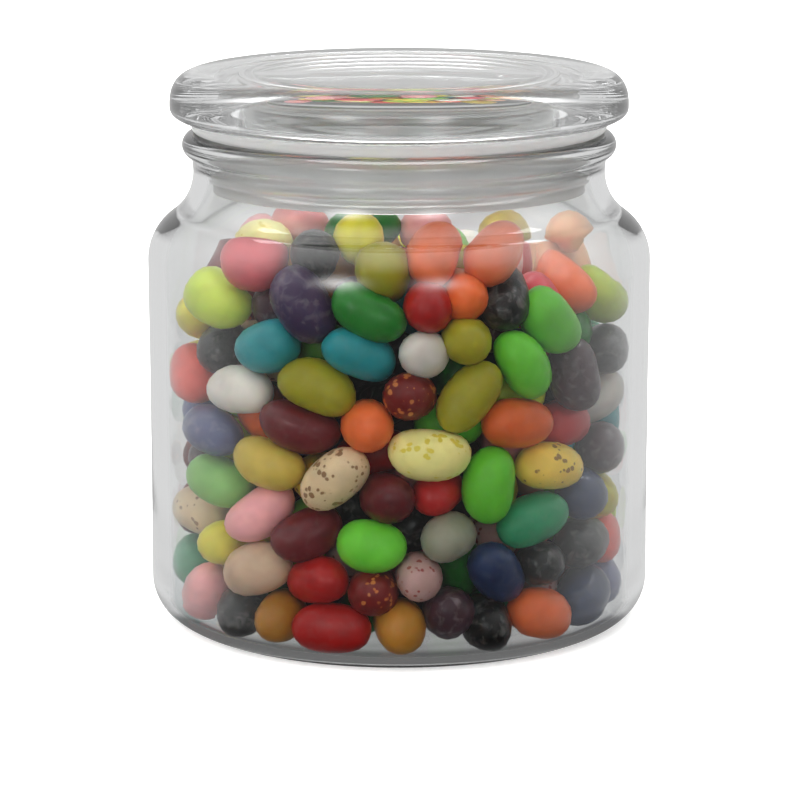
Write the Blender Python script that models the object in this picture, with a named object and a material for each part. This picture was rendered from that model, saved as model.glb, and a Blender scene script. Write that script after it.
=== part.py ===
# Glass candy jar filled with jelly beans: a pressed glass jar, a hollow domed glass lid,
# the clear plastic seal round the lid's plug, and the heap of beans inside.
# Units are metres, +Z is up, and the origin is the centre of the foot, on the table.

import math
import random

import bmesh
import bpy
from mathutils import Vector

# Flat sides round each turned piece, and the clearance that touching pieces keep.
SEGMENTS = 48
GAP = 0.0003

# Jar, outside.
BODY_RADIUS = 0.0540
PANEL_RADIUS = 0.0539
PANEL_LOW = 0.030
PANEL_HIGH = 0.050
HEEL_RADIUS = 0.0088
FOOT_INNER_RADIUS = 0.0390
PUSH_UP = 0.0008
SHOULDER_LOW = 0.0785
SHOULDER_HIGH = 0.0976
NECK_RADIUS = 0.0441
BEAD_CENTRE_RADIUS = 0.0439
BEAD_CENTRE_HEIGHT = 0.1031
BEAD_ROUNDING = 0.00255

# Jar, inside.
BODY_BORE = 0.0502
FLOOR = 0.0026
FLOOR_ROUNDING = 0.0050
FLOOR_CROWN = 0.0004
BORE_SHOULDER_LOW = 0.0775
BORE_SHOULDER_HIGH = 0.0970
MOUTH_BORE = 0.0408
MOUTH_ROUNDING = 0.0007

# Seal: a flange that sits on the rim, and a ribbed skirt inside the mouth.
SEAL_FLANGE_RADIUS = 0.0444
SEAL_FLANGE = 0.0021
SEAL_BORE = 0.0387
SEAL_SKIRT_RADIUS = 0.0398
SEAL_RIB = 0.0007
SEAL_RIB_COUNT = 3
SEAL_BOTTOM = 0.0935

# Lid.
LID_RADIUS = 0.0490
LID_EDGE_HEIGHT = 0.1114
LID_TOP = 0.1190
LID_SHOULDER_RADIUS = 0.0414
LID_SHOULDER_RISE = 0.0074
LID_ROUNDNESS = 2.6
LID_UNDERSIDE_RADIUS = 0.0417
PLUG_RADIUS = 0.0383
PLUG_BORE = 0.0345
PLUG_BOTTOM = 0.0955
CAVITY_RADIUS = 0.0304
CAVITY_TOP = 0.1148
CAVITY_ROUNDING = 0.0040

# Heap of beans.
HEAP_SEGMENTS = 52
HEAP_SIDE_RINGS = 13
HEAP_TOP_RINGS = 10
HEAP_CENTRE = 0.0865
HEAP_FRONT = 0.0900
HEAP_SIDE = 0.0745
HEAP_BACK = 0.0650
HEAP_FRONT_POWER = 1.2
HEAP_SLOPE_POWER = 1.3
BEAN_LENGTH = 0.0165
BEAN_WIDTH = 0.0118
BEAN_PITCH = 0.0132
BEAN_ROW = 0.0119
BEAN_LEAN = 0.7
BEAN_RELIEF = 0.0030
BEAN_SEED = 11

RIM_TOP = BEAD_CENTRE_HEIGHT + BEAD_ROUNDING
SEAL_FLANGE_BOTTOM = RIM_TOP + GAP
SEAL_TOP = SEAL_FLANGE_BOTTOM + SEAL_FLANGE
LID_SEAT = SEAL_TOP + GAP


def clear_scene():
    for thing in list(bpy.data.objects):
        bpy.data.objects.remove(thing, do_unlink=True)


def material(name, colour, roughness, transmission=0.0, ior=1.5):
    made = bpy.data.materials.new(name)
    made.use_nodes = True
    shader = made.node_tree.nodes["Principled BSDF"]
    shader.inputs["Base Color"].default_value = (*colour, 1.0)
    shader.inputs["Metallic"].default_value = 0.0
    shader.inputs["Roughness"].default_value = roughness
    shader.inputs["Transmission Weight"].default_value = transmission
    shader.inputs["IOR"].default_value = ior
    return made


def arc(centre, radius, start, end, steps):
    # Points (radius from the axis, height) on an arc, angles in degrees.
    points = []
    for step in range(steps + 1):
        angle = math.radians(start + (end - start) * step / steps)
        points.append((centre[0] + radius * math.cos(angle), centre[1] + radius * math.sin(angle)))
    return points


def shoulder(low, high, steps):
    # Two equal arcs that meet in an S, upright at both ends, from low up to high.
    inward = low[0] - high[0]
    rise = high[1] - low[1]
    radius = (inward ** 2 + rise ** 2) / (4 * inward)
    sweep = math.degrees(math.asin(rise / 2 / radius))
    convex = arc((low[0] - radius, low[1]), radius, 0, sweep, steps)
    hollow = arc((high[0] + radius, high[1]), radius, 180 + sweep, 180, steps)
    return convex + hollow[1:]


def dome(radius, edge_height, rise, steps):
    # A shallow crown from the axis out to the given radius.
    points = []
    for step in range(steps + 1):
        fraction = step / steps
        points.append((radius * fraction, edge_height + rise * (1 - fraction ** 2)))
    return points


def finish(mesh_data, name, made):
    bmesh.ops.recalc_face_normals(mesh_data, faces=mesh_data.faces)
    mesh = bpy.data.meshes.new(name)
    mesh_data.to_mesh(mesh)
    mesh_data.free()
    mesh.materials.append(made)
    mesh.shade_smooth()
    mesh.set_sharp_from_angle(angle=math.radians(40))
    thing = bpy.data.objects.new(name, mesh)
    bpy.context.collection.objects.link(thing)
    return thing


def turned(name, outline, made, closed=False):
    # Spins an outline of (radius, height) points round the Z axis.
    data = bmesh.new()
    verts = [data.verts.new((radius, 0.0, height)) for radius, height in outline]
    edges = [data.edges.new(pair) for pair in zip(verts, verts[1:])]
    if closed:
        edges.append(data.edges.new((verts[-1], verts[0])))
    bmesh.ops.spin(
        data, geom=verts + edges, cent=(0, 0, 0), axis=(0, 0, 1),
        angle=2 * math.pi, steps=SEGMENTS, use_merge=True,
    )
    bmesh.ops.remove_doubles(data, verts=data.verts, dist=1e-6)
    return finish(data, name, made)


def jar_bore():
    # The inside of the jar from the middle of its floor to the mouth.
    floor_edge = BODY_BORE - FLOOR_ROUNDING
    points = dome(floor_edge, FLOOR, FLOOR_CROWN, 2)
    points += arc((floor_edge, FLOOR + FLOOR_ROUNDING), FLOOR_ROUNDING, -90, 0, 4)[1:]
    points += shoulder((BODY_BORE, BORE_SHOULDER_LOW), (MOUTH_BORE, BORE_SHOULDER_HIGH), 3)
    return points


def jar_outside():
    # The outside from the bead at the mouth down to the foot.
    bead = (BEAD_CENTRE_RADIUS, BEAD_CENTRE_HEIGHT)
    points = arc(bead, BEAD_ROUNDING, 90, -75, 5)
    points += reversed(shoulder((BODY_RADIUS, SHOULDER_LOW), (NECK_RADIUS, SHOULDER_HIGH), 4))
    points += [(PANEL_RADIUS, PANEL_HIGH), (PANEL_RADIUS, PANEL_LOW)]
    heel_centre = (BODY_RADIUS - HEEL_RADIUS, HEEL_RADIUS)
    points += arc(heel_centre, HEEL_RADIUS, 0, -90, 4)
    points += reversed(dome(FOOT_INNER_RADIUS, 0.0, PUSH_UP, 3))
    return points


def make_jar():
    mouth = (MOUTH_BORE + MOUTH_ROUNDING, RIM_TOP - MOUTH_ROUNDING)
    outline = jar_bore() + arc(mouth, MOUTH_ROUNDING, 180, 90, 1) + jar_outside()
    return turned("jar", outline, material("clear_glass", (0.93, 0.95, 0.95), 0.02, 1.0, 1.52))


def make_seal():
    # The skirt's outer side carries low rounded ribs that press on the mouth.
    pitch = (SEAL_FLANGE_BOTTOM - SEAL_BOTTOM) / (SEAL_RIB_COUNT + 1)
    outline = [(SEAL_BORE, SEAL_TOP), (SEAL_FLANGE_RADIUS, SEAL_TOP)]
    outline += [(SEAL_FLANGE_RADIUS, SEAL_FLANGE_BOTTOM), (SEAL_SKIRT_RADIUS, SEAL_FLANGE_BOTTOM)]
    for rib in range(SEAL_RIB_COUNT):
        height = SEAL_FLANGE_BOTTOM - pitch * (rib + 1)
        outline.append((SEAL_SKIRT_RADIUS, height + SEAL_RIB))
        outline.append((SEAL_SKIRT_RADIUS + SEAL_RIB, height))
        outline.append((SEAL_SKIRT_RADIUS, height - SEAL_RIB))
    outline += [(SEAL_SKIRT_RADIUS, SEAL_BOTTOM), (SEAL_BORE, SEAL_BOTTOM)]
    return turned("lid_seal", outline, material("clear_seal", (0.90, 0.91, 0.90), 0.25, 0.6), closed=True)


def lid_quarter(inner_radius, rise, steps):
    # A quarter of the lid's rounded edge, from its widest point in to the given radius.
    width = LID_RADIUS - inner_radius
    points = []
    for step in range(steps + 1):
        angle = math.pi / 2 * step / steps
        across = max(0.0, math.cos(angle)) ** (2 / LID_ROUNDNESS)
        along = math.sin(angle) ** (2 / LID_ROUNDNESS)
        points.append((inner_radius + width * across, LID_EDGE_HEIGHT + rise * along))
    return points


def lid_edge():
    # The lid's full rounded edge, from its crown out and under to the seat.
    upper = lid_quarter(LID_SHOULDER_RADIUS, LID_SHOULDER_RISE, 6)
    lower = lid_quarter(LID_UNDERSIDE_RADIUS, LID_SEAT - LID_EDGE_HEIGHT, 4)
    return upper[::-1] + lower[1:]


def make_lid():
    # The crown, the rounded edge, the plug, and the hollow that opens at the plug's end.
    crown_edge = LID_EDGE_HEIGHT + LID_SHOULDER_RISE
    plug_rounding = (PLUG_RADIUS - PLUG_BORE) / 2
    plug_end = (PLUG_BORE + plug_rounding, PLUG_BOTTOM + plug_rounding)
    outline = dome(LID_SHOULDER_RADIUS, crown_edge, LID_TOP - crown_edge, 3)[:-1]
    outline += lid_edge()
    outline.append((PLUG_RADIUS, LID_SEAT))
    outline += arc(plug_end, plug_rounding, 0, -180, 4)
    ceiling = (CAVITY_RADIUS, CAVITY_TOP - CAVITY_ROUNDING)
    outline += arc(ceiling, CAVITY_ROUNDING, 0, 90, 3)
    outline.append((0.0, CAVITY_TOP + GAP))
    return turned("lid", outline, material("pressed_glass", (0.92, 0.94, 0.94), 0.03, 1.0, 1.52))


def heap_level(angle, share):
    # Height of the heap at a share of the bore's radius: high at the front, lower at both sides and the back.
    facing = -math.sin(angle)
    if facing > 0:
        rim = HEAP_SIDE + (HEAP_FRONT - HEAP_SIDE) * facing ** HEAP_FRONT_POWER
    else:
        rim = HEAP_SIDE + (HEAP_SIDE - HEAP_BACK) * facing
    return HEAP_CENTRE + (rim - HEAP_CENTRE) * share ** HEAP_SLOPE_POWER


def bore_radius(height):
    # Radius of the jar's bore at a height between its floor and its neck.
    outline = jar_bore()
    for (inner, low), (outer, high) in zip(outline, outline[1:]):
        if low <= height <= high and high > low:
            return inner + (outer - inner) * (height - low) / (high - low)
    return outline[-1][0]


def heap_outline(angle):
    # The smooth heap's section in one direction, from the floor's middle up to the crown.
    facet = math.cos(math.pi / SEGMENTS)
    floor_edge = BODY_BORE - FLOOR_ROUNDING
    lift = FLOOR + FLOOR_CROWN + GAP
    points = [(floor_edge * 0.5, lift)]
    centre = (floor_edge - GAP, lift + FLOOR_ROUNDING)
    points += arc(centre, FLOOR_ROUNDING, -85, 0, 3)
    start = points[-1][1]
    level = heap_level(angle, 1)
    for ring in range(1, HEAP_SIDE_RINGS + 1):
        height = start + (level - start) * ring / HEAP_SIDE_RINGS
        points.append((bore_radius(height) * facet - GAP, height))
    rim = points[-1][0]
    for ring in range(1, HEAP_TOP_RINGS):
        share = 1 - ring / HEAP_TOP_RINGS
        points.append((rim * share, heap_level(angle, share)))
    return points


def bean_places():
    # Beans lie all over the heap's skin, one to each patch, turned at random.
    rng = random.Random(BEAN_SEED)
    places = []
    height = FLOOR + BEAN_WIDTH / 2
    row = 0
    while height < HEAP_CENTRE:
        radius = bore_radius(height)
        count = int(2 * math.pi * radius / BEAN_PITCH)
        for index in range(count):
            angle = 2 * math.pi * (index + 0.5 * (row % 2) + rng.uniform(-0.15, 0.15)) / count
            spot = Vector((radius * math.cos(angle), radius * math.sin(angle), height))
            around = Vector((-math.sin(angle), math.cos(angle), 0))
            lean = rng.uniform(-BEAN_LEAN, BEAN_LEAN)
            places.append((spot, (around * math.cos(lean) + Vector((0, 0, math.sin(lean)))).normalized()))
        height += BEAN_ROW
        row += 1
    for level in (FLOOR, HEAP_CENTRE):
        for ring in range(4):
            radius = BEAN_PITCH * (ring + 0.2)
            count = max(1, int(2 * math.pi * radius / BEAN_PITCH))
            for index in range(count):
                angle = 2 * math.pi * (index + rng.uniform(0, 0.4)) / count
                top = heap_level(angle, radius / BODY_BORE) if level == HEAP_CENTRE else level
                spot = Vector((radius * math.cos(angle), radius * math.sin(angle), top))
                lean = rng.uniform(0, math.pi)
                places.append((spot, Vector((math.cos(lean), math.sin(lean), 0))))
    return places


def bean_height(point, places):
    # 1 at the crest of a bean, falling as an ellipse does to 0 between the beans.
    best = 0.0
    for spot, along in places:
        offset = point - spot
        if offset.length > BEAN_LENGTH / 2:
            continue
        length_part = offset.dot(along) / (BEAN_LENGTH / 2)
        width_part = (offset - along * offset.dot(along)).length / (BEAN_WIDTH / 2)
        best = max(best, 1 - length_part ** 2 - width_part ** 2)
    return math.sqrt(best)


def make_beans():
    data = bmesh.new()
    places = bean_places()
    inside = Vector((0, 0, HEAP_CENTRE / 2))
    columns = []
    for index in range(HEAP_SEGMENTS):
        angle = 2 * math.pi * index / HEAP_SEGMENTS
        column = []
        for radius, height in heap_outline(angle):
            point = Vector((radius * math.cos(angle), radius * math.sin(angle), height))
            sink = BEAN_RELIEF * (1 - bean_height(point, places))
            aim = Vector((inside.x, inside.y, min(max(height, inside.z - 0.02), inside.z + 0.02)))
            column.append(data.verts.new(point + (aim - point).normalized() * sink))
        columns.append(column)
    bottom = data.verts.new((0, 0, FLOOR + FLOOR_CROWN + GAP))
    crown = data.verts.new((0, 0, HEAP_CENTRE))
    for left, right in zip(columns, columns[1:] + columns[:1]):
        data.faces.new((bottom, right[0], left[0]))
        data.faces.new((crown, left[-1], right[-1]))
        for low in range(len(left) - 1):
            data.faces.new((left[low], right[low], right[low + 1], left[low + 1]))
    return finish(data, "beans", material("sugar_shell", (0.42, 0.28, 0.16), 0.35))


def main():
    clear_scene()
    make_jar()
    make_seal()
    make_lid()
    make_beans()


main()
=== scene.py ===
import math

import bmesh
import bpy
import numpy as np
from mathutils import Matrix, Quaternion, Vector


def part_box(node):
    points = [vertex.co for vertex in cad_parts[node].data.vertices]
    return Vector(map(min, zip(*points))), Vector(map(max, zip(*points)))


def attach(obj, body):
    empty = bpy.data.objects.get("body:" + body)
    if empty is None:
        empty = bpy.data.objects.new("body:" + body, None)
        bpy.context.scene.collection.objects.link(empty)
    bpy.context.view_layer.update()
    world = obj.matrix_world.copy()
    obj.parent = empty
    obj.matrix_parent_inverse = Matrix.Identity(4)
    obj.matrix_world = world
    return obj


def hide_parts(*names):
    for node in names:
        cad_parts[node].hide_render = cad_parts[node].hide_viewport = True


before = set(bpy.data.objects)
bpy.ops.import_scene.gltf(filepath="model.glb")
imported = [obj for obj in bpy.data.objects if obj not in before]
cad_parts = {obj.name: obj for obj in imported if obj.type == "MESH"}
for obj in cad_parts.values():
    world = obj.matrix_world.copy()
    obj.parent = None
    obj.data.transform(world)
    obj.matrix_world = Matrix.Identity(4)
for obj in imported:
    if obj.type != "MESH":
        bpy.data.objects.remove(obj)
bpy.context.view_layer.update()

mm = 0.001
jarLow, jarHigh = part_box("jar")
lidLow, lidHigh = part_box("lid")
sealLow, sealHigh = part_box("lid_seal")


# Small helpers

def linearFromHex(code):
    channels = [int(code[i:i + 2], 16) / 255 for i in (1, 3, 5)]
    return [c / 12.92 if c <= 0.04045 else ((c + 0.055) / 1.055) ** 2.4 for c in channels] + [1.0]


def addNode(tree, kind, inputs=None, links=None, **settings):
    node = tree.nodes.new(kind)
    for name, value in settings.items():
        setattr(node, name, value)
    for name, value in (inputs or {}).items():
        node.inputs[name].default_value = value
    for name, source in (links or {}).items():
        tree.links.new(source, node.inputs[name])
    return node


def newMaterial(name, **sockets):
    made = bpy.data.materials.new(name)
    made.use_nodes = True
    shader = made.node_tree.nodes["Principled BSDF"]
    for socket, value in sockets.items():
        shader.inputs[socket.replace("_", " ")].default_value = value
    return made, made.node_tree, shader


def ramp(tree, factor, stops):
    node = addNode(tree, "ShaderNodeValToRGB", links={"Fac": factor})
    while len(node.color_ramp.elements) < len(stops):
        node.color_ramp.elements.new(0.5)
    for element, (position, colour) in zip(node.color_ramp.elements, stops):
        element.position = position
        element.color = colour
    return node.outputs["Color"]


def mixColours(tree, factor, first, second):  # blends two colour sockets or fixed colours
    node = addNode(tree, "ShaderNodeMix", {0: 0.5}, {0: factor}, data_type="RGBA")
    for index, value in ((6, first), (7, second)):
        if isinstance(value, list):
            node.inputs[index].default_value = value
        else:
            tree.links.new(value, node.inputs[index])
    return node.outputs[2]


def greys(*stops):  # stops of a ramp from dark to light
    return [(position, [level, level, level, 1]) for position, level in stops]


def addCloud(tree, grain, **inputs):  # soft noise, its grain in millimetres
    place = addNode(tree, "ShaderNodeTexCoord").outputs["Object"]
    noise = addNode(tree, "ShaderNodeTexNoise", {"Scale": 1 / (grain * mm), **inputs},
                    {"Vector": place})
    return noise.outputs["Fac"]


def addRelief(tree, shader, grain, detail, strength, depth):  # grain and depth in millimetres
    bump = addNode(tree, "ShaderNodeBump", {"Strength": strength, "Distance": depth * mm},
                   {"Height": addCloud(tree, grain, Detail=detail)})
    tree.links.new(bump.outputs["Normal"], shader.inputs["Normal"])


def arc(centre, radius, start, end, steps):
    angles = np.radians(np.linspace(start, end, steps + 1))
    return [(centre[0] + radius * math.cos(a), centre[1] + radius * math.sin(a)) for a in angles]


def crown(radius, edge, rise, steps):  # a shallow dome from the axis outwards
    return [(radius * k / steps, edge + rise * (1 - (k / steps) ** 2)) for k in range(steps + 1)]


def sCurve(low, high, steps):  # two equal arcs, upright at both ends
    inward, rise = low[0] - high[0], high[1] - low[1]
    radius = (inward ** 2 + rise ** 2) / (4 * inward)
    sweep = math.degrees(math.asin(rise / 2 / radius))
    lower = arc((low[0] - radius, low[1]), radius, 0, sweep, steps)
    upper = arc((high[0] + radius, high[1]), radius, 180 + sweep, 180, steps)
    return lower + upper[1:]


def straight(start, end, steps):
    return [tuple(np.array(start) + (np.array(end) - start) * k / steps) for k in range(steps + 1)]


def turn(name, outline, sides, material, closed=False):  # spins an outline given in millimetres
    data = bmesh.new()
    verts = [data.verts.new((r * mm, 0, z * mm)) for r, z in outline]
    edges = [data.edges.new(pair) for pair in zip(verts, verts[1:])]
    if closed:
        edges.append(data.edges.new((verts[-1], verts[0])))
    bmesh.ops.spin(data, geom=verts + edges, cent=(0, 0, 0), axis=(0, 0, 1),
                   angle=2 * math.pi, steps=sides, use_merge=True)
    bmesh.ops.remove_doubles(data, verts=data.verts, dist=1e-6)
    bmesh.ops.recalc_face_normals(data, faces=data.faces)
    mesh = bpy.data.meshes.new(name)
    data.to_mesh(mesh)
    data.free()
    return addPiece(name, mesh, material)


def addPiece(name, mesh, material):
    mesh.materials.clear()
    mesh.materials.append(material)
    mesh.shade_smooth()
    piece = bpy.data.objects.new(name, mesh)
    bpy.context.scene.collection.objects.link(piece)
    return piece


# Glass and seal

jarSize = {  # millimetres
    "sides": 192,
    "body": jarHigh.x / mm,
    "rim": jarHigh.z / mm,
    "panelInset": 0.1,
    "panel": (30, 50),
    "heel": 8.8,
    "footInner": 39,
    "pushUp": 0.8,
    "shoulder": (78.5, 97.6),
    "neck": 44.1,
    "bead": (43.9, 2.55),
    "wall": 3.8,
    "floor": 2.6,
    "floorCrown": 0.4,
    "floorRounding": 5.0,
    "boreShoulder": (77.5, 97.0),
    "mouth": 40.8,
    "mouthRounding": 0.7,
}

lidSize = {
    "sides": 192,
    "radius": lidHigh.x / mm,
    "top": lidHigh.z / mm,
    "edge": 111.4,
    "shoulder": (41.4, 7.4),
    "roundness": 2.6,
    "underside": (41.7, 108.35),
    "plug": 38.3,
    "plugBore": 34.5,
    "plugEnd": lidLow.z / mm,
    "cavity": (30.4, 114.8),
    "cavityRounding": 4.0,
}

sealSize = {
    "sides": 160,
    "top": sealHigh.z / mm,
    "bottom": sealLow.z / mm,
    "flange": sealHigh.x / mm,
    "flangeThickness": 2.1,
    "bore": 38.7,
    "skirt": 39.8,
    "rib": 0.7,
    "ribs": 3,
}


def jarBore():
    s = jarSize
    bore = s["body"] - s["wall"]
    floorEdge = bore - s["floorRounding"]
    points = crown(floorEdge, s["floor"], s["floorCrown"], 10)
    points += arc((floorEdge, s["floor"] + s["floorRounding"]), s["floorRounding"], -90, 0, 14)[1:]
    points += straight(points[-1], (bore, s["boreShoulder"][0]), 10)[1:-1]
    points += sCurve((bore, s["boreShoulder"][0]), (s["mouth"], s["boreShoulder"][1]), 12)
    return points


def makeJar(material):
    s = jarSize
    body, panel = s["body"], s["body"] - s["panelInset"]
    rimCentre = (s["mouth"] + s["mouthRounding"], s["rim"] - s["mouthRounding"])
    low, high = s["panel"]
    top, foot = s["shoulder"][0] - 2, s["heel"] + 3  # where the panel has blended out
    outside = arc((s["bead"][0], s["rim"] - s["bead"][1]), s["bead"][1], 90, -80, 16)
    outside += sCurve((body, s["shoulder"][0]), (s["neck"], s["shoulder"][1]), 14)[::-1]
    for k in range(9):  # the label panel is a shade narrower and blends out softly
        share = 0.5 + 0.5 * math.cos(math.pi * k / 8)
        outside.append((panel + (body - panel) * share, top - (top - high) * k / 8))
    for k in range(9):
        share = 0.5 - 0.5 * math.cos(math.pi * k / 8)
        outside.append((panel + (body - panel) * share, low - (low - foot) * k / 8))
    outside += arc((body - s["heel"], s["heel"]), s["heel"], 0, -90, 16)
    outside += crown(s["footInner"], 0, s["pushUp"], 10)[::-1]
    outline = jarBore() + arc(rimCentre, s["mouthRounding"], 180, 90, 5) + outside
    jar = turn("jar_glass", outline, s["sides"], material)
    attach(jar, "root")
    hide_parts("jar")
    return jar


def lidQuarter(inner, rise, steps):
    s = lidSize
    points = []
    for k in range(steps + 1):
        a = math.pi / 2 * k / steps
        across = max(0, math.cos(a)) ** (2 / s["roundness"])
        along = math.sin(a) ** (2 / s["roundness"])
        points.append((inner + (s["radius"] - inner) * across, s["edge"] + rise * along))
    return points


def makeLid(material):
    s = lidSize
    shoulderRadius, shoulderRise = s["shoulder"]
    crownEdge = s["edge"] + shoulderRise
    underRadius, seat = s["underside"]
    rounding = (s["plug"] - s["plugBore"]) / 2
    outline = crown(shoulderRadius, crownEdge, s["top"] - crownEdge, 10)[:-1]
    outline += lidQuarter(shoulderRadius, shoulderRise, 28)[::-1]
    outline += lidQuarter(underRadius, seat - s["edge"], 20)[1:]
    outline += straight(outline[-1], (s["plug"] + 0.5, seat), 4)[1:]
    outline += arc((s["plug"] + 0.5, seat - 0.5), 0.5, 90, 180, 3)[1:]
    outline += arc((s["plugBore"] + rounding, s["plugEnd"] + rounding), rounding, 0, -180, 14)
    ceilingRadius, ceiling = s["cavity"]
    outline += arc((ceilingRadius, ceiling - s["cavityRounding"]), s["cavityRounding"], 0, 90, 10)
    outline += crown(ceilingRadius, ceiling, 0.3, 8)[::-1][1:]
    lid = turn("lid_glass", outline, s["sides"], material)
    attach(lid, "root")
    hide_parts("lid")
    return lid


def makeSeal(material):
    s = sealSize
    under = s["top"] - s["flangeThickness"]
    pitch = (under - s["bottom"]) / (s["ribs"] + 1)
    half = s["flangeThickness"] / 2
    outline = [(s["bore"], s["top"]), (s["flange"] - half, s["top"])]
    outline += arc((s["flange"] - half, s["top"] - half), half, 90, -90, 8)
    outline += [(s["skirt"] + 0.3, under), (s["skirt"], under - 0.3)]
    for k in range(s["ribs"]):
        middle = under - pitch * (k + 1)
        for a in np.linspace(-math.pi / 2, math.pi / 2, 7):
            outline.append((s["skirt"] + s["rib"] * math.cos(a), middle - s["rib"] * math.sin(a)))
    edge = (s["skirt"] - s["bore"]) / 2
    outline += arc((s["bore"] + edge, s["bottom"] + edge), edge, 0, -180, 6)
    seal = turn("seal_ring", outline, s["sides"], material, closed=True)
    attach(seal, "root")
    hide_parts("lid_seal")
    return seal


def sodaLimeGlass():
    # Soda-lime glass, pressed in a mould: bright, a trace of grey-green in thick edges,
    # and a slow waviness that bends what is seen through it.
    made, tree, shader = newMaterial(
        "sodaLimeGlassPressed", Roughness=0.0, IOR=1.52, Transmission_Weight=1.0,
        Base_Color=linearFromHex("#F9FAFA"))
    addRelief(tree, shader, grain=16, detail=1.0, strength=0.12, depth=0.25)
    return made


def softPolythene():
    # Low-density polythene, moulded: milky and half clear, with a satin skin.
    made, tree, shader = newMaterial(
        "polytheneMoulded", Roughness=0.3, IOR=1.5, Transmission_Weight=0.75,
        Base_Color=linearFromHex("#FCFCFB"))
    addRelief(tree, shader, grain=1.5, detail=2.0, strength=0.15, depth=0.05)
    return made


# The heap of beans

beanSize = {  # millimetres, and counts of faces
    "length": (14.2, 16.8),
    "width": (10.0, 11.2),
    "sides": 16,
    "rings": 12,
    "fullness": 2.5,
    "bend": 0.16,
    "unevenness": 0.35,
}

heapSize = {
    "beans": 382,
    "seed": 5,
    "rounds": 420,
    "centre": 87.5,
    "front": 91.0,
    "side": 73.0,
    "back": 65.0,
    "frontPower": 2,
    "slopePower": 1.3,
    "setBack": 7.0,  # of loose beans at the front, behind the placed ones
    "glassGap": 0.25,
    "sink": 0.05,
    "ease": 0.45,
    "pull": (0.1, 0.3),
    "press": 0.8,
    "heldWeight": 15,
    "coreRadius": 29.0,
    "coreTop": 66.0,
    "coreRounding": 6,
    "coreCrown": 9,
    "coreLump": 0.7,
}

shellLook = {  # sizes in millimetres
    "cloud": 5,
    "cloudShades": (0.8, 1.15),
    "fleck": 1.5,
    "flock": 3.5,
    "fleckCover": 0.85,
    "bloom": 2.2,
    "bloomTint": "#E4DEDA",
    "bloomMost": 0.03,
    "bloomMostDusty": 0.16,
    "dusty": ("coal", "grape", "licorice", "plum", "slate"),  # so dark that their bloom shows
}

# flavour: shell colour, fleck colour, share of fleck, and how many in a hundred
flavours = {
    "lime": ("#B8CC38", None, 0, 5),
    "grass": ("#64C22E", None, 0, 6),
    "pine": ("#146D17", None, 0, 6),
    "jade": ("#2A8E60", None, 0, 2),
    "mint": ("#82BC5C", None, 0, 3),
    "teal": ("#1F888E", None, 0, 4),
    "lemon": ("#D6CC28", None, 0, 5),
    "cream": ("#E6DC8C", "#D9C52C", 0.22, 4),
    "olive": ("#A0981E", None, 0, 4),
    "khaki": ("#C8AE48", None, 0, 3),
    "banana": ("#ECC84E", "#7A5424", 0.16, 4),
    "amber": ("#A8701A", None, 0, 4),
    "orange": ("#DC652A", None, 0, 6),
    "coral": ("#E4503C", None, 0, 4),
    "cherry": ("#A6110E", None, 0, 6),
    "cinnamon": ("#6C0E0A", "#D07A3C", 0.25, 3),
    "wine": ("#601218", None, 0, 6),
    "rose": ("#F0A8A8", None, 0, 6),
    "raspberry": ("#CC444E", None, 0, 3),
    "peach": ("#F6BE94", None, 0, 3),
    "moss": ("#3E6A22", None, 0, 2),
    "strawberry": ("#B08C86", "#8A2F2C", 0.22, 3),
    "speckle": ("#DAC098", "#7B5130", 0.25, 4),
    "taupe": ("#C0A286", None, 0, 3),
    "chalk": ("#DCD6CC", None, 0, 5),
    "plum": ("#3E222C", None, 0, 5),
    "grape": ("#3C2A4A", None, 0, 3),
    "navy": ("#12274E", None, 0, 5),
    "slate": ("#575D84", None, 0, 4),
    "coal": ("#111110", None, 0, 4),
    "licorice": ("#121010", None, 0, 4),
    "smoke": ("#8C8B78", None, 0, 0),
}

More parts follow.
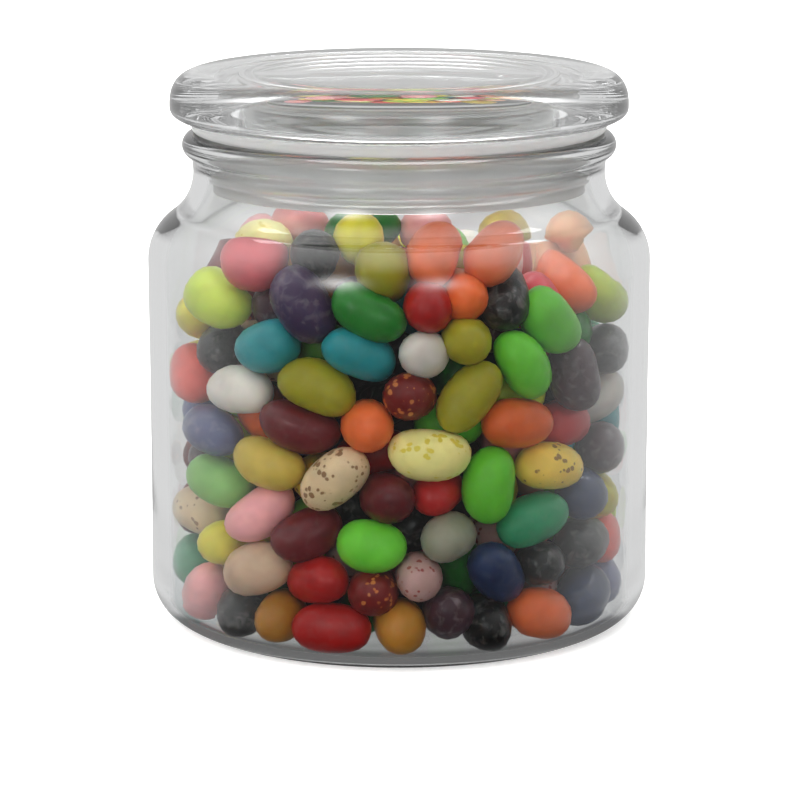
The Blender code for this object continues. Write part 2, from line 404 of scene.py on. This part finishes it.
# Beans against the glass at the front: flavour, degrees round the jar (0 is the front, right is
# positive), height, lean of the long axis, length that shows, and depth behind the first layer.
frontBeans = [
    ("lime", -56, 74, -5, 15, 1), ("lemon", -80, 67, 85, 12, 2), ("coral", -73, 56, -70, 12.8, 0),
    ("coal", -64, 62, -30, 10, 4), ("teal", -35, 67, 10, 13.4, 0),
    ("grape", -25, 75, -82, 16.3, 0), ("pine", -7, 75, -25, 16.2, 0),
    ("teal", -12, 66, -35, 16, 2), ("plum", -42, 73, 80, 11, 6), ("chalk", -46, 56, 20, 14.8, 0.5),
    ("olive", -22, 59, -22, 16.8, 0), ("moss", -24, 65, 0, 11, 6), ("cherry", 10, 77, 25, 13.6, 0),
    ("orange", 21, 76, 90, 11, 5), ("coal", 31, 74, 90, 11, 5), ("grass", 42, 72, -25, 15.7, 0),
    ("pine", 75, 66, 60, 12.9, 5), ("lime", 80, 70, 0, 15.5, 3), ("chalk", 8, 67, -40, 11.8, 0),
    ("olive", 19, 70, 20, 10.6, 0), ("grass", 33, 63, -62, 16, 0), ("plum", 53, 58, -75, 15.9, 0),
    ("coal", 80, 60, 0, 11.6, 0), ("chalk", 82, 49, 40, 16.5, 3), ("wine", -27, 50, -12, 17, 0),
    ("slate", -59, 45, -15, 14.3, 0), ("slate", -84, 45, 90, 11, 3), ("plum", -84, 37, 90, 11, 4),
    ("khaki", -36, 41, -8, 15.8, 0), ("mint", -57, 35, -20, 14.8, 0),
    ("speckle", -17, 40, 50, 16.2, 0), ("rose", -39, 30, 42, 16.3, 0),
    ("orange", -9, 51, 30, 12.3, 2), ("speckle", -74, 25, -10, 14.2, 1),
    ("cinnamon", 3, 58, 0, 12.3, 2), ("olive", 18, 57, 62, 16.8, 0),
    ("orange", 32, 50, 0, 14.9, 0), ("cherry", 56, 47, -30, 11.8, 4), ("plum", 77, 39, 30, 12, 0),
    ("cream", 8, 45, -8, 16.9, 0), ("grass", 24, 38, 83, 16.5, 0), ("banana", 43, 40, -5, 14.4, 0),
    ("navy", 59, 31, -60, 10.5, 1), ("lemon", 82, 27, 90, 10.5, 2), ("wine", -2, 35, 0, 13.6, 3),
    ("cherry", 12, 35, 0, 12.4, 5), ("rose", -63, 9.5, 70, 12.8, 0),
    ("jade", -82, 12.7, -60, 11.4, 0), ("lemon", -56, 21, -40, 10.6, 1),
    ("taupe", -41, 17.4, 45, 15.5, 0), ("wine", -25, 26.6, 20, 15.3, 1),
    ("cherry", -23, 16.7, 18, 15.4, 1), ("grass", -8, 24, 0, 13.6, 0),
    ("coal", -48, 8.6, 0, 10.6, 0), ("amber", -35, 8.6, 0, 11.3, 0),
    ("cherry", -18, 8.6, 0, 16.6, 0), ("cinnamon", -7, 15.5, -30, 10.7, 0),
    ("smoke", 13, 27.9, 80, 11.3, 0), ("jade", 37, 29.3, 22, 15.8, 0),
    ("coal", 59, 21, 5, 13.2, 1), ("coral", 82, 16.7, 30, 11.4, 1),
    ("navy", 27, 18.4, -72, 14.1, 0), ("licorice", 41, 18.1, 0, 11.7, 1),
    ("navy", 59, 10.2, 85, 13.2, 0), ("slate", 82, 9.5, 85, 13.2, 1),
    ("strawberry", 5, 17.7, -50, 11.6, 0), ("amber", -1, 8.6, 80, 11.2, 1),
    ("plum", 14, 11.2, -40, 12.4, 0), ("licorice", 23, 8.6, 0, 10.5, 1),
    ("orange", 39, 9.1, -22, 14.1, 0), ("raspberry", -43, 82.4, 45, 12, 1),
    ("coal", -25, 84, 90, 12, 6), ("lemon", -12, 85.5, 90, 12.2, 9), ("olive", -4, 83, -60, 12, 2),
    ("orange", 9, 85, 10, 12.2, 3), ("orange", 28, 84.5, 60, 13, 2),
    ("pine", -17, 87, 0, 14.5, 17), ("cream", -56, 84, 0, 12.6, 11), ("rose", -59, 87, 0, 13, 20),
    ("rose", -122, 80, 0, 11, 8), ("rose", 12, 87, 0, 11, 20), ("khaki", 130, 80, 0, 13, 14),
    ("peach", 83, 82, 0, 10.5, 8), ("raspberry", 50, 72, 0, 11, 8), ("peach", 85, 75, 0, 12, 8),
    ("plum", 30, 74, 0, 12, 6),
]


def heapLevel(across, deep, radius):  # the heap's top: a mound that meets the glass high in front
    s = heapSize
    facing = -np.sin(np.arctan2(deep, across))
    front, back = np.maximum(facing, 0), np.maximum(-facing, 0)
    toFront, toBack = s["front"] - s["side"], s["back"] - s["side"]
    rim = s["side"] + toFront * front ** s["frontPower"] + toBack * back
    share = np.clip(np.hypot(across, deep) / radius, 0, 1)
    return s["centre"] + (rim - s["centre"]) * share ** s["slopePower"]


class Heap:
    # Beans as capsules, each held by its two ends, eased apart until hardly any overlap is left.

    def __init__(self):
        s = heapSize
        self.rng = np.random.default_rng(s["seed"])
        outline = np.array(jarBore())
        steps = np.diff(outline, axis=0)
        along = np.concatenate([[0], np.cumsum(np.hypot(*steps.T))])
        fine = np.linspace(0, along[-1], 260)
        self.wall = np.stack([np.interp(fine, along, outline[:, k]) for k in (0, 1)], 1)
        tangent = np.gradient(self.wall, axis=0)
        tangent /= np.linalg.norm(tangent, axis=1)[:, None]
        self.inward = np.stack([-tangent[:, 1], tangent[:, 0]], 1)
        self.bore = jarSize["body"] - jarSize["wall"]
        self.placeAll()

    def placeAll(self):
        s, rng = heapSize, self.rng
        count = s["beans"]
        self.length = rng.uniform(*beanSize["length"], count)
        self.width = rng.uniform(*beanSize["width"], count)
        self.flavour = [None] * count
        centre = np.zeros((count, 3))
        axis = rng.normal(size=(count, 3))
        axis[:, 2] *= 0.6
        self.hold = np.zeros(count)
        for k, (flavour, turned, height, lean, shown, depth) in enumerate(frontBeans):
            turned, lean = math.radians(turned), math.radians(lean)
            self.length[k] = max(self.length[k], shown)
            half = self.length[k] - self.width[k]
            swing = math.acos(min(1, max(0.05, (shown - self.width[k]) / half)))
            swing = math.copysign(swing, turned)
            out = self.bore - 0.2 - self.width[k] / 2 - depth
            centre[k] = out * math.sin(turned), -out * math.cos(turned), height
            flat = math.cos(lean) * math.cos(swing)
            axis[k] = flat, math.sin(swing), math.sin(lean) * math.cos(swing)
            self.hold[k] = 1
            self.flavour[k] = flavour
        first = len(frontBeans)
        spots = []
        while len(spots) < count - first:  # the rest start anywhere in the jar below the heap's top
            x, y = rng.uniform(-self.bore, self.bore, 2)
            z = rng.uniform(jarSize["floor"] + 5, s["centre"])
            if math.hypot(x, y) < self.bore - 5 and z < heapLevel(x, y, self.bore) - 4:
                spots.append((x, y, z))
        centre[first:] = spots
        names = sorted(flavours)
        odds = np.array([flavours[name][3] for name in names], float)
        picks = rng.choice(len(names), count - first, p=odds / odds.sum())
        self.flavour[first:] = [names[pick] for pick in picks]
        axis /= np.linalg.norm(axis, axis=1)[:, None]
        self.half = (self.length - self.width) / 2
        reach = axis * self.half[:, None]
        self.ends = np.stack([centre - reach, centre + reach], 1)
        self.home = self.ends.copy()

    def contacts(self):
        mid = self.ends.mean(1)
        gap = np.linalg.norm(mid[:, None] - mid[None], axis=2)
        reach = self.length / 2
        one, two = np.nonzero(np.triu(gap < reach[:, None] + reach[None], 1))
        a, b = self.ends[one], self.ends[two]
        u, v, w = a[:, 1] - a[:, 0], b[:, 1] - b[:, 0], a[:, 0] - b[:, 0]
        uu, vv, uv = (u * u).sum(1), (v * v).sum(1), (u * v).sum(1)
        uw, vw = (u * w).sum(1), (v * w).sum(1)
        spread = np.maximum(uu * vv - uv ** 2, 1e-6)
        p = np.clip((uv * vw - uw * vv) / spread, 0, 1)
        q = np.clip((uv * p + vw) / vv, 0, 1)
        p = np.clip((uv * q - uw) / uu, 0, 1)
        apart = w + u * p[:, None] - v * q[:, None]
        distance = np.maximum(np.linalg.norm(apart, axis=1), 1e-6)
        overlap = (self.width[one] + self.width[two]) / 2 - distance
        touching = overlap > 0
        push = (apart / distance[:, None] * overlap[:, None])[touching]
        return one[touching], two[touching], p[touching], q[touching], push, overlap[touching]

    def easeApart(self, strength):
        one, two, p, q, push, overlap = self.contacts()
        weight = 1 / (1 + heapSize["heldWeight"] * self.hold)
        share = weight[one] / (weight[one] + weight[two])
        move = np.zeros_like(self.ends)
        for side, who, place, part in ((1, one, p, share), (-1, two, q, 1 - share)):
            level = (1 - place) ** 2 + place ** 2
            amount = side * strength * push * (part / level)[:, None]
            np.add.at(move[:, 0], who, amount * (1 - place)[:, None])
            np.add.at(move[:, 1], who, amount * place[:, None])
        self.ends += move
        return overlap

    def keepLength(self):
        mid = self.ends.mean(1)
        axis = self.ends[:, 1] - self.ends[:, 0]
        axis /= np.linalg.norm(axis, axis=1)[:, None]
        reach = axis * self.half[:, None]
        self.ends = np.stack([mid - reach, mid + reach], 1)

    def stayInside(self):
        s = heapSize
        for k in (0, 1):
            end = self.ends[:, k]
            out = np.maximum(np.hypot(end[:, 0], end[:, 1]), 1e-6)
            flat = np.stack([out, end[:, 2]], 1)
            nearest = np.argmin(((flat[:, None] - self.wall[None]) ** 2).sum(2), 1)
            clear = ((flat - self.wall[nearest]) * self.inward[nearest]).sum(1)
            upright = self.wall[nearest][:, 0] > self.bore - 8
            front = np.clip(-end[:, 1] / self.bore, 0, 0.5) * 2 * upright
            kept = self.width / 2 + s["glassGap"] + s["setBack"] * front * (1 - self.hold)
            lack = np.maximum(kept - clear, 0)[:, None]
            flat += self.inward[nearest] * lack
            scale = flat[:, 0] / out
            end[:, 0] *= scale
            end[:, 1] *= scale
            end[:, 2] = flat[:, 1]
            top = heapLevel(end[:, 0], end[:, 1], self.bore) - self.width / 2
            end[:, 2] -= s["press"] * (1 - self.hold) * np.maximum(end[:, 2] - top, 0)

    def settle(self):
        s = heapSize
        for step in range(s["rounds"]):
            left = 1 - step / s["rounds"]
            self.ends[:, :, 2] -= s["sink"] * left * (1 - self.hold)[:, None]
            overlap = self.easeApart(s["ease"])
            pull = s["pull"][0] + s["pull"][1] * left
            self.ends += (self.home - self.ends) * (pull * self.hold)[:, None, None]
            self.keepLength()
            self.stayInside()
        print("heap:", len(self.ends), "beans, worst overlap", round(float(overlap.max()), 2),
              "mm, mean", round(float(overlap.mean()), 2), "mm")


def beanTree():
    # One bean is a ball pulled long, filled out towards its ends and bent like a kidney; a copy
    # stands on each point with that point's own turn and size.
    tree = bpy.data.node_groups.new("jellyBeans", "GeometryNodeTree")
    sockets = {}
    for name, kind in (("Places", "NodeSocketGeometry"), ("Sides", "NodeSocketInt"),
                       ("Rings", "NodeSocketInt"), ("Fullness", "NodeSocketFloat"),
                       ("Bend", "NodeSocketFloat"), ("Unevenness", "NodeSocketFloat"),
                       ("Shell", "NodeSocketMaterial")):
        sockets[name] = tree.interface.new_socket(name, in_out="INPUT", socket_type=kind).identifier
    tree.interface.new_socket("Beans", in_out="OUTPUT", socket_type="NodeSocketGeometry")
    given = addNode(tree, "NodeGroupInput").outputs

    def math2(operation, first, second=0.0):
        node = addNode(tree, "ShaderNodeMath", operation=operation)
        for index, value in enumerate((first, second)):
            if isinstance(value, (int, float)):
                node.inputs[index].default_value = value
            else:
                tree.links.new(value, node.inputs[index])
        return node.outputs[0]

    ball = addNode(tree, "GeometryNodeMeshUVSphere", {"Radius": 1.0},
                   {"Segments": given["Sides"], "Rings": given["Rings"]})
    split = addNode(tree, "ShaderNodeSeparateXYZ",
                    links={"Vector": addNode(tree, "GeometryNodeInputPosition").outputs[0]})
    along = split.outputs["Z"]
    full = math2("SUBTRACT", 1.0, math2("POWER", math2("ABSOLUTE", along), given["Fullness"]))
    plain = math2("MAXIMUM", math2("SUBTRACT", 1.0, math2("MULTIPLY", along, along)), 0.0001)
    swell = math2("SQRT", math2("DIVIDE", full, plain))
    bow = math2("MULTIPLY", given["Bend"], math2("SUBTRACT", math2("MULTIPLY", along, along), 0.4))
    bent = addNode(tree, "ShaderNodeCombineXYZ", links={
        "X": math2("ADD", math2("MULTIPLY", split.outputs["X"], swell), bow),
        "Y": math2("MULTIPLY", split.outputs["Y"], swell), "Z": along})
    bean = addNode(tree, "GeometryNodeSetPosition",
                   links={"Geometry": ball.outputs["Mesh"], "Position": bent.outputs[0]})
    turned = addNode(tree, "GeometryNodeInputNamedAttribute", {"Name": "turn"},
                     data_type="FLOAT_VECTOR")
    size = addNode(tree, "GeometryNodeInputNamedAttribute", {"Name": "size"},
                   data_type="FLOAT_VECTOR")
    copies = addNode(tree, "GeometryNodeInstanceOnPoints", links={
        "Points": given["Places"], "Instance": bean.outputs["Geometry"],
        "Rotation": turned.outputs["Attribute"], "Scale": size.outputs["Attribute"]})
    real = addNode(tree, "GeometryNodeRealizeInstances", links={"Geometry": copies.outputs[0]})
    lumps = addNode(tree, "ShaderNodeTexNoise", {"Scale": 1 / (7 * mm), "Detail": 0.0},
                    {"Vector": addNode(tree, "GeometryNodeInputPosition").outputs[0]})
    swellBy = math2("MULTIPLY", math2("SUBTRACT", lumps.outputs["Fac"], 0.5), given["Unevenness"])
    shift = addNode(tree, "ShaderNodeVectorMath", operation="SCALE", links={
        "Vector": addNode(tree, "GeometryNodeInputNormal").outputs[0], "Scale": swellBy})
    uneven = addNode(tree, "GeometryNodeSetPosition",
                     links={"Geometry": real.outputs[0], "Offset": shift.outputs[0]})
    smooth = addNode(tree, "GeometryNodeSetShadeSmooth", links={"Geometry": uneven.outputs[0]})
    coated = addNode(tree, "GeometryNodeSetMaterial",
                     links={"Geometry": smooth.outputs[0], "Material": given["Shell"]})
    addNode(tree, "NodeGroupOutput", links={"Beans": coated.outputs[0]})
    return tree, sockets


def addPoints(name, places, turns, sizes, tones):
    mesh = bpy.data.meshes.new(name)
    mesh.from_pydata(places, [], [])
    for title, kind, values, part in (("turn", "FLOAT_VECTOR", turns, "vector"),
                                      ("size", "FLOAT_VECTOR", sizes, "vector"),
                                      ("tone", "FLOAT", tones, "value")):
        layer = mesh.attributes.new(title, kind, "POINT")
        layer.data.foreach_set(part, np.array(values, np.float32).ravel())
    holder = bpy.data.objects.new(name, mesh)
    bpy.context.scene.collection.objects.link(holder)
    return holder


def makeBeans(heap):
    tree, sockets = beanTree()
    middle = heap.ends.mean(1)
    axes = heap.ends[:, 1] - heap.ends[:, 0]
    out = np.hypot(middle[:, 0], middle[:, 1])
    hidden = (out < heapSize["coreRadius"] - 3) & (middle[:, 2] < heapSize["coreTop"] - 1)
    rolls = heap.rng.uniform(0, 2 * math.pi, len(middle))
    flats = heap.rng.uniform(0.92, 1.0, len(middle))
    tones = heap.rng.uniform(0, 1, len(middle))
    pieces = []
    for flavour in sorted(flavours):
        mine = [k for k in range(len(middle)) if heap.flavour[k] == flavour and not hidden[k]]
        if not mine:
            continue
        turns, sizes = [], []
        for k in mine:
            spin = Vector(axes[k]).to_track_quat("Z", "X") @ Quaternion((0, 0, 1), rolls[k])
            turns.append(spin.to_euler("XYZ"))
            thick, half = heap.width[k] / 2, heap.length[k] / 2
            sizes.append((thick * flats[k] * mm, thick * mm, half * mm))
        places = (middle[mine] * mm).tolist()
        holder = addPoints("places_" + flavour, places, turns, sizes, tones[mine])
        shell = sugarShell(flavour)
        grow = holder.modifiers.new("beans", "NODES")
        grow.node_group = tree
        for name, value in (("Sides", beanSize["sides"]), ("Rings", beanSize["rings"]),
                            ("Fullness", beanSize["fullness"]), ("Bend", beanSize["bend"]),
                            ("Unevenness", beanSize["unevenness"] * mm), ("Shell", shell)):
            grow[sockets[name]] = value
        evaluated = holder.evaluated_get(bpy.context.evaluated_depsgraph_get())
        mesh = bpy.data.meshes.new_from_object(evaluated)
        holder.modifiers.remove(grow)
        bpy.data.objects.remove(holder)
        piece = addPiece("beans_" + flavour, mesh, shell)
        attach(piece, "root")
        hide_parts("beans")
        pieces.append(piece)
    print("beans:", int((~hidden).sum()), "shown in", len(pieces), "flavours")


def addFlecks(tree, shade, fleck, share):  # small spots that gather in flocks
    look = shellLook
    place = addNode(tree, "ShaderNodeTexCoord").outputs["Object"]
    spots = addNode(tree, "ShaderNodeTexVoronoi", {"Scale": 1 / (look["fleck"] * mm)},
                    {"Vector": place})
    flock = addCloud(tree, look["flock"], Detail=2.0)
    reach = addNode(tree, "ShaderNodeMath", {1: 2.0, 2: share - 1}, {0: flock},
                    operation="MULTIPLY_ADD")
    near = addNode(tree, "ShaderNodeMath", operation="SUBTRACT",
                   links={0: reach.outputs[0], 1: spots.outputs["Distance"]})
    mask = ramp(tree, near.outputs[0], greys((0.0, 0), (0.12, look["fleckCover"])))
    return mixColours(tree, mask, shade, linearFromHex(fleck))


def sugarShell(flavour):
    # Sugar shell, panned in layers and polished with wax: half gloss, a little uneven in tone,
    # with a fine orange-peel skin, a soft sheen at its edges and a thin dusting of bloom. Some
    # flavours are flecked.
    look = shellLook
    colour, fleck, share, _ = flavours[flavour]
    made, tree, shader = newMaterial(
        "sugarShell_" + flavour, Roughness=0.3, IOR=1.46, Specular_IOR_Level=0.4,
        Subsurface_Weight=0.3, Subsurface_Scale=1.2 * mm, Sheen_Weight=0.35, Sheen_Roughness=0.35)
    base = linearFromHex(colour)
    darker, lighter = look["cloudShades"]
    dark = [c * darker for c in base[:3]] + [1]
    light = [min(1, c * lighter + 0.01) for c in base[:3]] + [1]
    shader.inputs["Sheen Tint"].default_value = light
    tone = addNode(tree, "ShaderNodeAttribute", attribute_name="tone").outputs["Fac"]
    cloud = addCloud(tree, look["cloud"], Detail=2.0)
    blend = addNode(tree, "ShaderNodeMath", {1: 0.5}, {0: tone, 2: cloud}, operation="MULTIPLY_ADD")
    shade = ramp(tree, blend.outputs[0], [(0.35, dark), (0.75, base), (1.0, light)])
    if fleck:
        shade = addFlecks(tree, shade, fleck, share)
    most = look["bloomMostDusty"] if flavour in look["dusty"] else look["bloomMost"]
    bloom = addCloud(tree, look["bloom"], Detail=4.0, Distortion=0.6)
    dust = ramp(tree, bloom, greys((0.5, 0), (0.8, most)))
    shade = mixColours(tree, dust, shade, linearFromHex(look["bloomTint"]))
    tree.links.new(shade, shader.inputs["Base Color"])
    addRelief(tree, shader, grain=2.8, detail=1.0, strength=0.25, depth=0.2)
    return made


def makeCore(material):
    # What lies deeper than the beans that show: a lumpy heap, its dark colour painted shade.
    s = heapSize
    floor = jarSize["floor"] + 2
    radius, rounding = s["coreRadius"], s["coreRounding"]
    side = straight((radius, floor + rounding), (radius, s["coreTop"]), 24)
    outline = [(0, floor), (radius - rounding, floor)]
    outline += arc((radius - rounding, floor + rounding), rounding, -70, 0, 5) + side[1:]
    outline += crown(radius, s["coreTop"], s["coreCrown"], 12)[::-1][1:]
    core = turn("heap_core", outline, 72, material)
    data = bmesh.new()
    data.from_mesh(core.data)
    for vert in data.verts:  # lumps about a bean apart
        x, y, z = vert.co / mm
        lump = math.sin(x / 2.1) * math.sin(y / 2.3 + 1) + math.sin(z / 2.2 + x / 5)
        vert.co += vert.normal * (lump * s["coreLump"] * mm)
    data.to_mesh(core.data)
    data.free()
    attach(core, "root")
    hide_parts("beans")
    return core


def paintedHeapShade():
    # Painted shade: a dark brown stand-in for the sugar shells deep in the heap, where hardly any
    # light comes.
    made, tree, shader = newMaterial("heapPaintedShade", Roughness=0.6)
    cloud = addCloud(tree, 12, Detail=1.0)
    # these dark browns are painted shade, not the beans' own colours
    shade = ramp(tree, cloud, [(0.35, linearFromHex("#1E1512")), (0.65, linearFromHex("#3A2A20"))])
    tree.links.new(shade, shader.inputs["Base Color"])
    return made


# Floor, lights and camera

stage = {"width": 5.0, "front": -2.5, "back": 2.2, "bend": 0.25, "height": 1.1}


def makeStage():
    s = stage
    profile = [(s["front"], 0.0), (s["back"] - s["bend"], 0.0)]
    profile += arc((s["back"] - s["bend"], s["bend"]), s["bend"], -90, 0, 12)[1:]
    profile.append((s["back"], s["height"]))
    half = s["width"] / 2
    verts = [(x, y, z) for y, z in profile for x in (-half, half)]
    faces = [(2 * k, 2 * k + 1, 2 * k + 3, 2 * k + 2) for k in range(len(profile) - 1)]
    mesh = bpy.data.meshes.new("sweep")
    mesh.from_pydata(verts, [], faces)
    # White acrylic sheet, satin and lit a little from below, so that the floor stays pale.
    made, tree, shader = newMaterial(
        "acrylicSweep", Roughness=0.8, Base_Color=linearFromHex("#F7F7F6"),
        Emission_Color=linearFromHex("#FFFFFF"), Emission_Strength=0.35)
    addRelief(tree, shader, grain=0.8, detail=2.0, strength=0.05, depth=0.1)
    sweep = addPiece("sweep", mesh, made)
    sweep.visible_glossy = False  # glass and beans see the tent instead
    sweep.visible_transmission = False


backPanel = {"place": (0, 0.25, 0.9), "aim": (0, 0.55, 0.2), "size": (1.4, 0.3), "power": 8}


def makeBackPanel():  # lifts the floor behind the jar
    s = backPanel
    light = bpy.data.lights.new("backPanel", "AREA")
    light.shape = "RECTANGLE"
    light.size, light.size_y = s["size"]
    light.energy = s["power"]
    holder = bpy.data.objects.new("backPanel", light)
    holder.location = s["place"]
    facing = Vector(s["aim"]) - Vector(s["place"])
    holder.rotation_euler = facing.to_track_quat("-Z", "Y").to_euler()
    holder.visible_glossy = False
    bpy.context.scene.collection.objects.link(holder)


tent = {  # levels of light, spans of direction, and lobes as direction, strength and sharpness
    "wall": 0.7,
    "roof": 1.6,
    "table": 0.22,
    "open": 0.1,
    "openSpan": (-0.7, 0.15),
    "wallSpan": (-0.42, -0.24),
    "roofSpan": (0.6, 0.95),
    "boxes": (((-0.75, 0.0, 0.66), 1.6, 9), ((0.75, 0.0, 0.66), 1.6, 9),
              ((-0.45, -0.82, 0.36), 7.0, 80), ((0.3, -0.88, 0.36), 4.5, 80)),
    "fill": 0.66,
    "fillSpan": (-0.4, 0.3),
    "keys": (((-0.3, -0.7, 0.6), 2.9, 3), ((0.1, -0.1, 1.0), 2.0, 5)),
}


def makeTent():
    # A light tent, open and dark in front where the glass would mirror it. The keys only reach what
    # scatters light, so the beans are lit from the front while the glass before them stays clear.
    world = bpy.data.worlds.new("tent")
    world.use_nodes = True
    tree = world.node_tree
    direction = addNode(tree, "ShaderNodeTexCoord").outputs["Generated"]
    split = addNode(tree, "ShaderNodeSeparateXYZ", links={"Vector": direction})

    def band(axis, span, start, end):
        node = addNode(tree, "ShaderNodeMapRange", {
            "From Min": span[0], "From Max": span[1], "To Min": start, "To Max": end},
            {"Value": split.outputs[axis]}, interpolation_type="SMOOTHSTEP")
        return node.outputs["Result"]

    def addLobes(level, lobes):
        for aim, strength, sharpness in lobes:
            toward = addNode(tree, "ShaderNodeVectorMath", {1: Vector(aim).normalized()},
                             {0: direction}, operation="DOT_PRODUCT")
            ahead = addNode(tree, "ShaderNodeMath", {1: 0.0}, {0: toward.outputs["Value"]},
                            operation="MAXIMUM")
            lobe = addNode(tree, "ShaderNodeMath", {1: sharpness}, {0: ahead.outputs[0]},
                           operation="POWER")
            level = addNode(tree, "ShaderNodeMath", {1: strength}, {0: lobe.outputs[0], 2: level},
                            operation="MULTIPLY_ADD").outputs[0]
        return level

    walls = addNode(tree, "ShaderNodeMath", operation="MULTIPLY", links={
        0: band("Y", tent["openSpan"], tent["open"], tent["wall"]),
        1: band("Z", tent["wallSpan"], tent["table"], 1)})
    closed = addNode(tree, "ShaderNodeMath", operation="MAXIMUM", links={
        0: band("Z", tent["roofSpan"], 0, tent["roof"]), 1: walls.outputs[0]})
    shown = addLobes(closed.outputs[0], tent["boxes"])
    lighting = addLobes(band("Z", tent["fillSpan"], tent["table"], tent["fill"]), tent["keys"])
    scattered = addNode(tree, "ShaderNodeLightPath").outputs["Diffuse Depth"]
    blend = addNode(tree, "ShaderNodeMix", links={"Factor": scattered, "A": shown, "B": lighting})
    background = tree.nodes["Background"].inputs
    tree.links.new(blend.outputs["Result"], background["Strength"])
    background["Color"].default_value = linearFromHex("#FFFFFF")
    bpy.context.scene.world = world


cameraView = {
    "distance": 0.7269,
    "height": 0.2027,
    "pitch": 12.11,
    "lens": 153.86,
    "shift": 0.0011,
    "sensor": 36,
    "clipStart": 0.05,
}
lightBounces = {"glossy": 16, "transmission": 24, "most": 24}  # many turns inside thick glass


def makeCamera():
    s = cameraView
    camera = bpy.data.cameras.new("camera")
    camera.sensor_width = s["sensor"]
    camera.lens = s["lens"]
    camera.shift_x = s["shift"]
    camera.clip_start = s["clipStart"]
    holder = bpy.data.objects.new("camera", camera)
    holder.location = (0, -s["distance"], s["height"])
    holder.rotation_euler = (math.radians(90 - s["pitch"]), 0, 0)
    bpy.context.scene.collection.objects.link(holder)
    bpy.context.scene.camera = holder


glass = sodaLimeGlass()
makeJar(glass)
makeLid(glass)
makeSeal(softPolythene())
print("glass and seal done")
heap = Heap()
heap.settle()
makeBeans(heap)
makeCore(paintedHeapShade())
print("heap done")
makeStage()
makeTent()
makeBackPanel()
makeCamera()
scene = bpy.context.scene
scene.view_settings.view_transform = "Standard"
scene.cycles.glossy_bounces = lightBounces["glossy"]
scene.cycles.transmission_bounces = lightBounces["transmission"]
scene.cycles.max_bounces = lightBounces["most"]
print("stage done")
